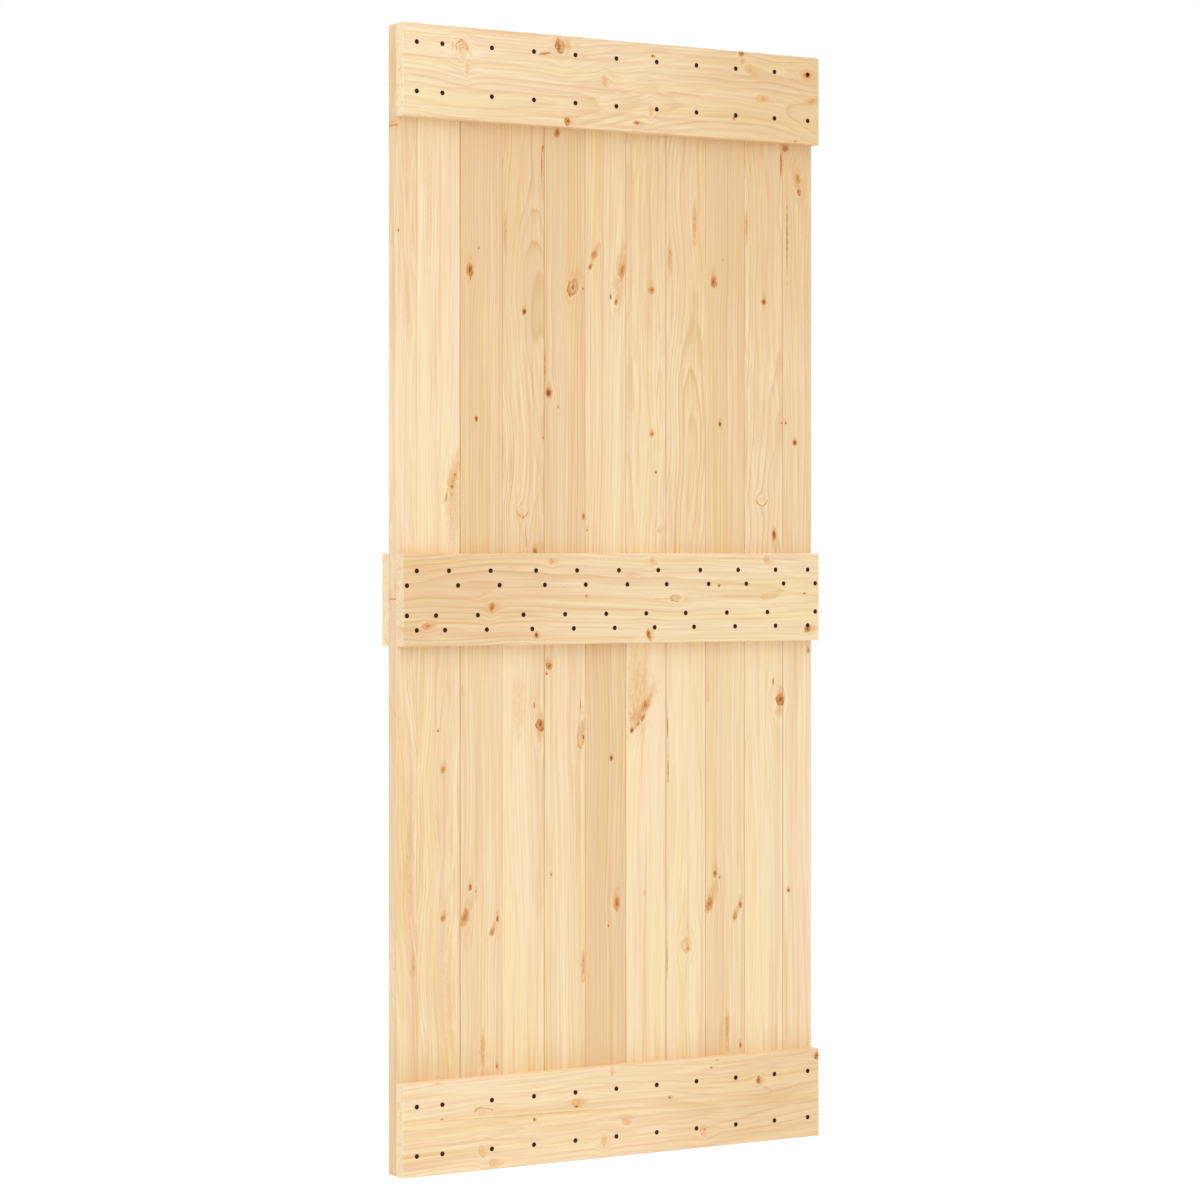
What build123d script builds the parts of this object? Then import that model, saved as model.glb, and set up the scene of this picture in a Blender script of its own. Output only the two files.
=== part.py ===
"""Ledged sliding door leaf in unfinished pine, made for a top-hung barn door track.

Eleven upright tongue-and-groove boards, nine of full cover between two ripped ones, carry three
rails on the front face and one on the back face at mid-height. Countersunk screws go in from the
front rails, one to a board in each row. Screws and their holes have eight sides, so that 88 of
them stay light.

X runs across the leaf, Y from the front face of the rails to the back, Z upwards. The origin is
the middle of the top rail's front face, where the hangers of a track hold the leaf.
"""
from build123d import *
from math import cos, pi, sin
import os

# Leaf, millimetres
leaf_width = 900.0
leaf_height = 2045.0

# Boards
board_thickness = 28.0
board_cover = 88.0
first_board_width = 42.5
narrowest_ripped_board = 25.0
seam_gap = 0.3
board_arris = 1.0
ripped_edge_arris = 0.5

# Tongue and groove
tongue_thickness = 6.0
tongue_length = 7.0
tongue_nose = 1.0
groove_side_clearance = 0.2
groove_end_clearance = 1.0

# Rails
rail_height = 165.0
rail_thickness = 25.0
back_rail_thickness = 25.0
rail_edge_radius = 1.5

# Screws
head_diameter = 9.0
head_sink = 0.3
shank_diameter = 4.5
point_length = 5.0
tip_radius = 0.4
wood_left_past_point = 8.0
hole_clearance = 0.15
turning_sides = 8

# Setting out of the screws: rows from the rail's edges, columns from the board's left seam
top_rail_row_inset = 33.0
bottom_rail_row_inset = 36.5
end_rail_row_spacing = 87.5
end_rail_column = 51.5
second_board_column_shift = -14.0
middle_rail_top_row_inset = 31.0
middle_rail_foot_row_inset = 28.5
middle_rail_row_step = 26.0
upper_pair_column = 56.0
lower_pair_column = 48.0
pair_stagger = 18.5
outer_row_first_inset = 28.0
outer_row_last_inset = 25.5
inner_row_end_inset = 8.0
upper_pair_drift = (0.0, -5.0, -7.0, 0.0, -1.0, 1.0, -1.0, 4.0, 1.0, -2.0)
lower_pair_drift = (0.0, -5.0, -7.0, 0.0, 0.0, 0.0, -1.0, -2.0, 2.0, 6.0)

# Levels worked out from the sizes above
leaf_left = -leaf_width / 2
leaf_right = leaf_width / 2
leaf_top = rail_height / 2
leaf_bottom = leaf_top - leaf_height
boards_front = rail_thickness
boards_back = boards_front + board_thickness
middle_rail_centre = (leaf_top + leaf_bottom) / 2
bottom_rail_centre = leaf_bottom + rail_height / 2
outer_row_end_insets = (outer_row_first_inset, outer_row_last_inset)
inner_row_end_insets = (inner_row_end_inset, inner_row_end_inset)


def board_seams():
    """X of every board edge from the leaf's left side to its right side."""
    full_boards = int((leaf_width - first_board_width) // board_cover)
    last_board_width = leaf_width - first_board_width - full_boards * board_cover
    if last_board_width < narrowest_ripped_board:
        full_boards -= 1
    first_seam = leaf_left + first_board_width
    inner = [first_seam + number * board_cover for number in range(full_boards + 1)]
    return [leaf_left] + inner + [leaf_right]


def board_section(left, right, grooved, tongued):
    """Outline of one board seen from above: tongue on the right, groove on the left."""
    front, back = boards_front, boards_back
    middle = (front + back) / 2
    left_arris = board_arris if grooved else ripped_edge_arris
    right_arris = board_arris if tongued else ripped_edge_arris
    half_tongue = tongue_thickness / 2
    half_groove = half_tongue + groove_side_clearance
    outline = [(left + left_arris, front), (right - right_arris, front), (right, front + right_arris)]
    if tongued:
        tip = right + tongue_length
        outline += [
            (right, middle - half_tongue),
            (tip - tongue_nose, middle - half_tongue),
            (tip, middle - half_tongue + tongue_nose),
            (tip, middle + half_tongue - tongue_nose),
            (tip - tongue_nose, middle + half_tongue),
            (right, middle + half_tongue),
        ]
    outline += [(right, back - right_arris), (right - right_arris, back)]
    outline += [(left + left_arris, back), (left, back - left_arris)]
    if grooved:
        bottom = left + tongue_length + groove_end_clearance
        outline += [
            (left, middle + half_groove),
            (bottom, middle + half_groove),
            (bottom, middle - half_groove),
            (left, middle - half_groove),
        ]
    outline += [(left, front + left_arris)]
    return make_face(Polyline(*outline, close=True))


def make_board(seams, number):
    """One upright board between its two seams, the full height of the leaf."""
    is_first = number == 0
    is_last = number == len(seams) - 2
    left = seams[number] + (0 if is_first else seam_gap / 2)
    right = seams[number + 1] - (0 if is_last else seam_gap / 2)
    section = board_section(left, right, grooved=not is_first, tongued=not is_last)
    return extrude(Pos(0, 0, leaf_bottom) * section, leaf_height, dir=(0, 0, 1))


def make_rail(centre_z, front, thickness, eased_face):
    """A rail as wide as the leaf, with the edges of its outer face rounded over."""
    block = Pos(0, front + thickness / 2, centre_z) * Box(leaf_width, thickness, rail_height)
    return fillet(block.faces().sort_by(Axis.Y)[eased_face].edges(), rail_edge_radius)


def column(seams, board, set_out, end_insets):
    """X of the screw that a row puts in one board."""
    first_inset, last_inset = end_insets
    if board == 0:
        return leaf_left + first_inset
    if board == len(seams) - 2:
        return leaf_right - last_inset
    return seams[board] + set_out


def end_rail_columns(seams):
    """Columns of the top and bottom rails: the second board's screw stands nearer the first."""
    shifts = [second_board_column_shift if board == 1 else 0.0 for board in range(len(seams) - 1)]
    return [
        column(seams, board, end_rail_column + shift, outer_row_end_insets)
        for board, shift in enumerate(shifts)
    ]


def middle_rail_columns(seams, set_out, drift, end_insets):
    """Columns of one row of the middle rail, with the drift of a hand-held driver."""
    return [
        column(seams, board, set_out + drift[board % len(drift)], end_insets)
        for board in range(len(seams) - 1)
    ]


def screw_rows(seams):
    """Name, height, columns and length of every row of screws."""
    single = rail_thickness + board_thickness - wood_left_past_point
    double = single + back_rail_thickness
    top_row = leaf_top - top_rail_row_inset
    bottom_row = leaf_bottom + bottom_rail_row_inset
    end_columns = end_rail_columns(seams)
    rail_half = rail_height / 2
    upper_outer = middle_rail_centre + rail_half - middle_rail_top_row_inset
    lower_outer = middle_rail_centre - rail_half + middle_rail_foot_row_inset
    upper_inner_column = upper_pair_column + pair_stagger
    lower_inner_column = lower_pair_column - pair_stagger
    outer, inner = outer_row_end_insets, inner_row_end_insets
    upper, lower = upper_pair_drift, lower_pair_drift
    return [
        ("top_rail_screws_upper", top_row, end_columns, single),
        ("top_rail_screws_lower", top_row - end_rail_row_spacing, end_columns, single),
        ("middle_rail_screws_row_1", upper_outer,
         middle_rail_columns(seams, upper_pair_column, upper, outer), single),
        ("middle_rail_screws_row_2", upper_outer - middle_rail_row_step,
         middle_rail_columns(seams, upper_inner_column, upper, inner), double),
        ("middle_rail_screws_row_3", lower_outer + middle_rail_row_step,
         middle_rail_columns(seams, lower_inner_column, lower, inner), double),
        ("middle_rail_screws_row_4", lower_outer,
         middle_rail_columns(seams, lower_pair_column, lower, outer), single),
        ("bottom_rail_screws_upper", bottom_row + end_rail_row_spacing, end_columns, single),
        ("bottom_rail_screws_lower", bottom_row, end_columns, single),
    ]


def turned(profile):
    """A many-sided turning about the Y axis: a ring of corners at each (radius, depth)."""
    step = 2 * pi / turning_sides
    angles = [step * (side + 0.5) for side in range(turning_sides)]
    rings = [[Vector(r * cos(a), y, r * sin(a)) for a in angles] for r, y in profile]
    facets = [Face(Wire.make_polygon(rings[0])), Face(Wire.make_polygon(rings[-1]))]
    for near, far in zip(rings, rings[1:]):
        for side in range(turning_sides):
            after = (side + 1) % turning_sides
            corners = [near[side], near[after], far[after], far[side]]
            facets.append(Face(Wire.make_polygon(corners)))
    return Solid(Shell(facets))


def head_and_shank(clearance):
    """Radii and depths of a countersunk head's rim and of its neck, with a clearance all round."""
    head = head_diameter / 2 + clearance
    shank = shank_diameter / 2 + clearance
    return head, shank, head_sink + head - shank


def screw_solid(length):
    """A countersunk screw from its head's top at the sink depth to its point."""
    head, shank, neck = head_and_shank(0.0)
    return turned([(head, head_sink), (shank, neck), (shank, length - point_length), (tip_radius, length)])


def screw_hole(length):
    """The seat and hole that such a screw sits in, wider than it by the clearance."""
    head, shank, neck = head_and_shank(hole_clearance)
    return turned([(head + head_sink, 0.0), (shank, neck), (shank, length + hole_clearance)])


def place_row(solid, height, columns):
    """Copies of one solid at every column of a row."""
    return [Pos(x, 0, height) * solid for x in columns]


def bored(piece, tools):
    """The piece with every hole that reaches it cut out."""
    box = piece.bounding_box()
    reaching = [tool for tool in tools if boxes_meet(box, tool.bounding_box())]
    return piece - reaching if reaching else piece


def boxes_meet(one, other):
    """Whether two bounding boxes share any space."""
    return all([
        one.min.X < other.max.X and other.min.X < one.max.X,
        one.min.Y < other.max.Y and other.min.Y < one.max.Y,
        one.min.Z < other.max.Z and other.min.Z < one.max.Z,
    ])


def make_leaf():
    """Every piece of the leaf by name."""
    seams = board_seams()
    rows = screw_rows(seams)
    holes = []
    for _, height, columns, length in rows:
        holes += place_row(screw_hole(length), height, columns)
    pieces = {}
    for number in range(len(seams) - 1):
        pieces[f"board_{number + 1:02d}"] = bored(make_board(seams, number), holes)
    front_rails = {
        "top_rail": 0.0,
        "middle_rail": middle_rail_centre,
        "bottom_rail": bottom_rail_centre,
    }
    for name, centre_z in front_rails.items():
        pieces[name] = bored(make_rail(centre_z, 0.0, rail_thickness, 0), holes)
    back = make_rail(middle_rail_centre, boards_back, back_rail_thickness, -1)
    pieces["back_rail"] = bored(back, holes)
    for name, height, columns, length in rows:
        pieces[name] = Compound(children=place_row(screw_solid(length), height, columns))
    return pieces


os.makedirs("parts", exist_ok=True)
for piece_name, piece_shape in make_leaf().items():
    export_step(piece_shape, f"parts/{piece_name}.step")
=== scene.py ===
"""Looks of a ledged sliding door leaf: unfinished pine with its grain and knots, and dark screws.

Every timber is solid pine: the growth rings are worked out in three dimensions, so that a board's
face, edge and end agree, and every knot runs through the timber. Lengths in the wood patterns are
millimetres; the objects themselves are in metres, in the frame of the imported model.
"""

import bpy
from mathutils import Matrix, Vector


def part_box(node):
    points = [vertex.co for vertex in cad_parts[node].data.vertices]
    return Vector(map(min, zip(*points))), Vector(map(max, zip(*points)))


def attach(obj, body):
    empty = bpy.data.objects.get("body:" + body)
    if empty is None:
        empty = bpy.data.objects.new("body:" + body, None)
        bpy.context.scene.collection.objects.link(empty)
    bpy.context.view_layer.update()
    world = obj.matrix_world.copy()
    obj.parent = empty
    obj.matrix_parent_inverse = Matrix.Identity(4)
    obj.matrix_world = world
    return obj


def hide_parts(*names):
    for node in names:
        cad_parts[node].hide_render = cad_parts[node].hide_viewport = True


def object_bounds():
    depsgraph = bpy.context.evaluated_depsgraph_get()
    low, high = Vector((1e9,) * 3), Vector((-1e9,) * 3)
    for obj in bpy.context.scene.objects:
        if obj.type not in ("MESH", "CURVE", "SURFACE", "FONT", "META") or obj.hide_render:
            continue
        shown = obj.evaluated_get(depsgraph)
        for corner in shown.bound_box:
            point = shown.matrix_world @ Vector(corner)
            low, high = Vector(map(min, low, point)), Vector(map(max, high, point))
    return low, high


bl_info = {
    "name": "Ledged Pine Door Leaf",
    "version": (1, 0, 0),
    "blender": (4, 5, 0),
    "location": "3D View > Sidebar > Door Leaf",
    "description": "Gives a ledged sliding door leaf its pine, its screws and a plain studio",
    "category": "Object",
}

from collections import namedtuple
from math import radians

import bpy
import numpy as np
from bpy.props import FloatProperty, FloatVectorProperty, IntProperty, PointerProperty

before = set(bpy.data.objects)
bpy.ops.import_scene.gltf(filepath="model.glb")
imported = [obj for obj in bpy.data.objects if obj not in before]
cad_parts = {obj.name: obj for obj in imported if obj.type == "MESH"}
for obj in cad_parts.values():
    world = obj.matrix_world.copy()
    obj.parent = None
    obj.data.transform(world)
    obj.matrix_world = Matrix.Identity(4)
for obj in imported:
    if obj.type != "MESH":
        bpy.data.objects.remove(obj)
cad_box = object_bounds()

MILLIMETRES = 1000.0
LEAF_LEFT = cad_box[0][0] * MILLIMETRES
LEAF_FOOT = cad_box[0][2] * MILLIMETRES

# Blotch sizes of the patterns in the wood: across, deep and along the grain
WANDER_SIZE = (1.0, 1.0, 420.0)
SWELL_SIZE = (60.0, 60.0, 240.0)
RIPPLE_SIZE = (9.0, 9.0, 60.0)
CLEAR_SIZE = (35.0, 35.0, 420.0)
STREAK_SIZE = (4.5, 4.5, 600.0)
FIBRE_SIZE = (1.3, 1.3, 110.0)
CANAL_SIZE = (0.9, 0.9, 12.0)
HUE_SIZE = (17.0, 17.0, 700.0)
RESIN_SIZE = (10.0, 10.0, 420.0)
MOTTLE_SIZE = (2.2, 2.2, 8.0)
RAGGED_SIZE = (9.0, 9.0, 16.0)
SEAM_STRETCH_SIZE = (400.0, 400.0, 180.0)

# How far the pith wanders, and the rings swell and ripple, across and deep
WANDER_REACH = (27.0, 17.0, 0.0)
SWELL_REACH = (6.0, 6.0, 0.0)
RIPPLE_REACH = (0.8, 0.8, 0.0)

# A board changes to its upper values this far to either side of the middle rail's middle, and a
# rail goes from one value to the next over this length
HALF_CHANGE = 60.0
THIRD_CHANGE = 350.0

# What makes each noise another one
BOARD_SEED_STEP = 7.3
FIRST_RAIL_SEED = 101.0
RAIL_SEED_STEP = 5.1
HUE_SEED = 31.7
RESIN_SEED = 57.1

# Screws in metres: the least gap between two in a row, the dish and lip of the head, the half-width
# of the recess's arms, and the point
LEAST_SCREW_GAP = 0.012
HEAD_DISH = 0.0001
RIM_LIP = 0.0002
ARM_HALF_WIDTH = 0.0008
POINT_LENGTH = 0.005
TIP_RADIUS = 0.0004

# The studio in metres and degrees. The floor is this white to the camera, and this much of that
# hides its shade
FLOOR_HALF = 14.0
FLOOR_DROP = 0.0005
FLOOR_WHITE = 1.08
FLOOR_WHITE_SHARE = 0.8
KEY_LAMP_SIZE = 4.0
KEY_LAMP_PLACE = (-4.1, -4.45, 1.8)
KEY_LAMP_TURN = (68.0, 0.0, -42.7)
SKY_SPREAD = 55.0
SKY_TURN = (27.0, 0.0, -35.0)
CAMERA_PLACE = (-3.5569, -5.6353, -0.8543)
CAMERA_TURN = (90.0, 0.0, -31.97)
LENS_MILLIMETRES = 109.05
LENS_SHIFT = -0.0403

# What a mark does to the wood: how brown its body is, how dark its heart, how strongly its own
# rings, its rim and the resin round it show, how far it bends the grain, and the side on which its
# rim and rings are clearest, as across, deep and along the grain
MarkKind = namedtuple("MarkKind", "body heart rings rim halo bend lean")
BELOW = (-0.35, 0.0, -1.0)
ABOVE = (1.0, 0.0, 0.0)
KNOT = MarkKind(1.12, 0.40, 0.14, 0.40, 0.45, 1.1, BELOW)
SOFT_KNOT = MarkKind(0.90, 0.15, 0.12, 0.35, 0.45, 1.0, BELOW)
DARK_KNOT = MarkKind(1.50, 0.85, 0.00, 0.60, 0.45, 1.1, BELOW)
RED_KNOT = MarkKind(1.18, 0.32, 0.26, 0.95, 0.45, 1.0, BELOW)
RINGED_KNOT = MarkKind(0.84, 0.50, 0.34, 0.85, 0.50, 1.3, BELOW)
CLUSTER = MarkKind(0.54, 0.00, 0.05, 0.40, 0.34, 1.2, BELOW)
GLOW = MarkKind(0.44, 0.00, 0.04, 0.00, 0.20, 0.9, BELOW)
SWIRL = MarkKind(0.52, 0.00, 0.14, 0.55, 0.22, 1.5, BELOW)
PALE_KNOT = MarkKind(0.38, 0.00, 0.08, 0.38, 0.18, 1.2, BELOW)
EYE = MarkKind(0.22, 0.00, 0.00, 0.60, 0.06, 0.5, (1.5, 0.0, 0.0))
ARCH = MarkKind(0.10, 0.00, 0.00, 0.72, 0.08, 0.9, (0.0, 0.0, -1.4))
DOME = MarkKind(0.24, 0.00, 0.05, 0.60, 0.08, 1.2, ABOVE)
RESIN_POCKET = MarkKind(0.58, 0.00, 0.00, 0.40, 0.12, 0.3, BELOW)
RESIN_LINE = MarkKind(1.10, 0.20, 0.00, 0.60, 0.20, 0.0, BELOW)
GRAIN_LINE = MarkKind(0.42, 0.00, 0.00, 0.00, 0.00, 0.0, BELOW)
STREAK = MarkKind(0.33, 0.00, 0.00, 0.00, 0.00, 0.0, BELOW)
SHADE = MarkKind(0.24, 0.00, 0.00, 0.00, 0.00, 0.0, BELOW)

# A mark's place from the leaf's left side and foot, its half-width across the grain, its length
# as a multiple of that, and its turn in degrees
Mark = namedtuple("Mark", "kind x height size stretch turn", defaults=(1.0, 0.0))

# One timber: where its pith lies from the middle of its front face and how that drifts along a
# metre, and the width of its rings. Then a value for each part of it, a board's foot and head or a
# rail's left, middle and right: how far the rings sway from straight, how strongly they show, and
# how tan the wood is (0 pale, 1 tan). Last, its marks
Timber = namedtuple("Timber", "pith drift ring sway contrast tan marks")

# How dark each seam between two boards is, at the leaf's foot and head
SEAMS = [
    (0.00, 0.00), (0.42, 0.42), (0.00, 0.00), (0.36, 0.25), (0.05, 0.05),
    (0.20, 0.12), (0.35, 0.25), (0.20, 0.00), (0.25, 0.08), (0.30, 0.05),
]

BOARDS = [
    Timber((50, 35), (-45, 12), 6.0, (1.8, 1.8), (0.48, 0.42), (0.50, 0.50), [
        Mark(RED_KNOT, 4, 1678, 2, 1.8),
        Mark(RESIN_LINE, 0, 1024, 3, 0.4),
        Mark(SHADE, 0, 1960, 10, 9),
        Mark(GLOW, -2, 1870, 4.5, 3.5),
        Mark(RED_KNOT, 1, 1866, 1.4, 2),
        Mark(RESIN_POCKET, 34, 373, 5, 5),
        Mark(SHADE, 30, 690, 7, 10),
        Mark(STREAK, 25, 545, 12, 14),
        Mark(SHADE, 22, 1560, 9, 12, -4),
    ]),
    Timber((-85, 45), (25, 8), 6.5, (1.4, 0.6), (0.46, 0.32), (0.44, 0.17), [
        Mark(SHADE, 68, 1750, 7, 22),
        Mark(SHADE, 104, 290, 20, 9),
        Mark(SHADE, 80, 1470, 6, 26),
        Mark(STREAK, 117, 1185, 19, 4.5),
        Mark(CLUSTER, 116, 1238, 12, 2.2, 14),
        Mark(GLOW, 114, 1212, 10, 1.8),
        Mark(PALE_KNOT, 123, 1262, 5, 2.4, 10),
        Mark(KNOT, 120, 1246, 3.2, 1.3, 30),
        Mark(RED_KNOT, 114, 1225, 4.6, 0.9, 20),
        Mark(SOFT_KNOT, 102, 1206, 2.2, 4.5, 12),
        Mark(DARK_KNOT, 85, 788, 2.8),
        Mark(SOFT_KNOT, 96, 718, 5, 1.4, 14),
        Mark(SOFT_KNOT, 95, 453, 6.5, 1.2, 14),
        Mark(GRAIN_LINE, 84, 620, 1.5, 40, -6),
    ]),
    Timber((-120, 60), (6, 4), 6.2, (0.3, 0.3), (0.30, 0.66), (0.44, 1.06), [
        Mark(KNOT, 151, 1614, 8.5, 1.7),
        Mark(KNOT, 152, 1598, 2, 1.3),
        Mark(KNOT, 169, 1654, 2, 1.3),
        Mark(DARK_KNOT, 164, 1347, 3.6, 1.6),
        Mark(PALE_KNOT, 135, 860, 2.5, 5),
        Mark(KNOT, 151, 506, 4.2, 1.8),
        Mark(KNOT, 163, 498, 2.2, 1.9),
        Mark(SHADE, 144, 450, 18, 4),
        Mark(SOFT_KNOT, 140, 452, 10, 2, 20),
        Mark(KNOT, 208, 446, 4.2, 1.9),
        Mark(SOFT_KNOT, 197, 423, 6.5, 1.5, 20),
        Mark(KNOT, 207, 180, 3.4, 1.6),
        Mark(PALE_KNOT, 178, 170, 6, 0.9),
        Mark(RESIN_POCKET, 177, 215, 6, 7),
    ]),
    Timber((20, 60), (-12, 18), 6.0, (0.6, 1.7), (0.20, 0.95), (0.10, 0.88), [
        Mark(RED_KNOT, 303, 1842, 2.4, 2.8),
        Mark(RESIN_LINE, 301, 1811, 1.6, 21),
        Mark(DARK_KNOT, 264, 1543, 5.1, 1.3),
        Mark(RESIN_POCKET, 224, 1686, 4, 11),
        Mark(ARCH, 261, 1182, 13, 0.9),
        Mark(KNOT, 262, 1170, 2.4, 1.4),
        Mark(RESIN_LINE, 268, 1133, 0.9, 29.2, -4),
        Mark(STREAK, 236, 1255, 5, 11),
        Mark(RED_KNOT, 304, 1315, 1.8, 1.5),
        Mark(KNOT, 287, 1110, 5.5, 1.2),
        Mark(RED_KNOT, 298, 794, 9.9, 1.3),
        Mark(SHADE, 254, 830, 18, 4.5),
        Mark(GLOW, 297, 778, 9, 2),
        Mark(RESIN_LINE, 285, 830, 1.8, 4.3),
    ]),
    Timber((125, 50), (-5, 5), 6.0, (0.4, 0.3), (0.26, 0.75), (0.30, 0.95), [
        Mark(KNOT, 334, 1871, 6.5, 1.6),
        Mark(RINGED_KNOT, 368, 1592, 12, 1.5, 24),
        Mark(KNOT, 389, 1589, 2.4, 1.4),
        Mark(RESIN_LINE, 308, 1445, 1.2, 36),
        Mark(DARK_KNOT, 316, 1397, 8, 1.3),
        Mark(KNOT, 336, 1372, 2, 1.7),
        Mark(RED_KNOT, 390, 1173, 3.6, 1.9),
        Mark(KNOT, 317, 900, 7.5, 1.1),
        Mark(KNOT, 311, 886, 3.6, 0.9),
        Mark(SWIRL, 386, 775, 9, 3.4, 8),
        Mark(DARK_KNOT, 390, 769, 2.6, 2.2),
        Mark(RESIN_LINE, 384, 828, 1, 15),
        Mark(KNOT, 321, 520, 2.4, 1.4),
        Mark(RESIN_POCKET, 390, 352, 5, 7),
    ]),
    Timber((-110, 70), (8, 4), 6.2, (0.4, 0.4), (0.52, 0.46), (0.95, 0.44), [
        Mark(SHADE, 424, 1838, 9, 3),
        Mark(SOFT_KNOT, 413, 1653, 8, 1.4, 25),
        Mark(KNOT, 405, 1630, 4.8, 1.5, 20),
        Mark(STREAK, 468, 1600, 17, 4),
        Mark(SOFT_KNOT, 474, 1626, 8.5, 2.2, 12),
        Mark(GLOW, 473, 1640, 10, 3.6, 10),
        Mark(KNOT, 449, 1576, 2.8, 2.1),
        Mark(KNOT, 461, 1568, 4.5, 1.8, 15),
        Mark(KNOT, 398, 1148, 2, 1.7),
        Mark(DARK_KNOT, 450, 728, 3.8, 1.4),
        Mark(SOFT_KNOT, 462, 461, 8.8, 1.7),
        Mark(KNOT, 461, 459, 4.2, 1.5),
        Mark(KNOT, 444, 420, 2, 1.3),
    ]),
    Timber((-45, 65), (20, 10), 6.4, (0.5, 1.2), (0.20, 0.52), (-0.05, 0.58), [
        Mark(SOFT_KNOT, 538, 1593, 7.8, 1.1),
        Mark(KNOT, 539, 1326, 5.5),
        Mark(DARK_KNOT, 548, 1255, 2.6),
        Mark(PALE_KNOT, 557, 1148, 6, 0.9),
        Mark(STREAK, 508, 850, 32, 2.8),
        Mark(SHADE, 495, 1790, 10, 9),
        Mark(CLUSTER, 511, 810, 16, 2.2, 32),
        Mark(SOFT_KNOT, 525, 824, 8.5, 1.9, 30),
        Mark(KNOT, 520, 802, 4, 2.2, 24),
        Mark(KNOT, 509, 790, 4, 1.3, 20),
        Mark(DARK_KNOT, 495, 778, 4, 1.3, 30),
        Mark(PALE_KNOT, 524, 479, 4, 2.1),
        Mark(GRAIN_LINE, 552, 1415, 1.5, 30, 5),
        Mark(GRAIN_LINE, 556, 1535, 1.5, 30, -3),
    ]),
    Timber((5, 45), (8, 20), 6.0, (0.6, 1.3), (0.24, 0.86), (-0.05, 0.58), [
        Mark(RESIN_POCKET, 634, 1722, 6, 8.5),
        Mark(RESIN_POCKET, 579, 1654, 6, 6.5),
        Mark(RESIN_LINE, 574, 783, 1.5, 16),
        Mark(RESIN_LINE, 575, 705, 1.6, 17),
        Mark(RESIN_LINE, 573, 350, 0.9, 42),
        Mark(PALE_KNOT, 617, 377, 13, 1.3),
        Mark(SOFT_KNOT, 619, 369, 3.6, 1.4),
    ]),
    Timber((-120, 60), (6, 4), 6.2, (0.3, 0.3), (0.30, 0.66), (0.40, 1.02), [
        Mark(KNOT, 677, 1613, 8.5, 1.7),
        Mark(KNOT, 698, 1655, 2, 1.3),
        Mark(DARK_KNOT, 691, 1347, 4.2, 1.5),
        Mark(PALE_KNOT, 664, 848, 3, 7),
        Mark(KNOT, 680, 506, 4.6, 1.8),
        Mark(KNOT, 690, 498, 2.2, 1.7),
        Mark(SOFT_KNOT, 668, 451, 10, 2, 20),
        Mark(KNOT, 737, 445, 4.2, 1.9),
        Mark(SOFT_KNOT, 725, 423, 6.5, 1.5, 20),
        Mark(KNOT, 737, 180, 3.4, 1.7),
        Mark(PALE_KNOT, 710, 173, 6, 0.9),
        Mark(RESIN_POCKET, 707, 215, 6, 7),
    ]),
    Timber((20, 60), (-12, 18), 6.0, (0.6, 1.6), (0.20, 0.82), (-0.03, 0.74), [
        Mark(RESIN_LINE, 830, 1841, 2.4, 14),
        Mark(RESIN_POCKET, 751, 1722, 4.5, 9),
        Mark(DARK_KNOT, 791, 1580, 6.2, 1.2),
        Mark(DARK_KNOT, 832, 1352, 2.4),
        Mark(ARCH, 787, 1206, 13, 0.9),
        Mark(DARK_KNOT, 814, 1140, 5, 2.1),
        Mark(RESIN_LINE, 812, 863, 1.8, 4.5),
        Mark(RED_KNOT, 829, 828, 11.3, 1.15),
        Mark(GLOW, 826, 808, 10, 1.4),
        Mark(GRAIN_LINE, 749, 734, 1.2, 30),
    ]),
    Timber((90, 50), (-10, 6), 6.0, (0.5, 0.9), (0.30, 0.62), (0.20, 0.76), [
        Mark(RED_KNOT, 841, 1873, 7.5, 0.9),
        Mark(RED_KNOT, 829, 828, 11.3, 1.15),
        Mark(SHADE, 882, 1780, 16, 5),
        Mark(CLUSTER, 868, 1812, 14, 1.6, -12),
        Mark(SOFT_KNOT, 869, 1817, 8, 1.5, -8),
        Mark(RED_KNOT, 872, 1792, 4.5, 1.6),
        Mark(RESIN_LINE, 844, 1705, 1.8, 48),
        Mark(DARK_KNOT, 841, 1352, 2.4),
        Mark(DARK_KNOT, 862, 1315, 5, 1.2),
        Mark(KNOT, 847, 466, 4.2),
        Mark(RESIN_LINE, 893, 921, 2.5, 2.7),
        Mark(SHADE, 893, 1540, 18, 22),
    ]),
]

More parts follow.
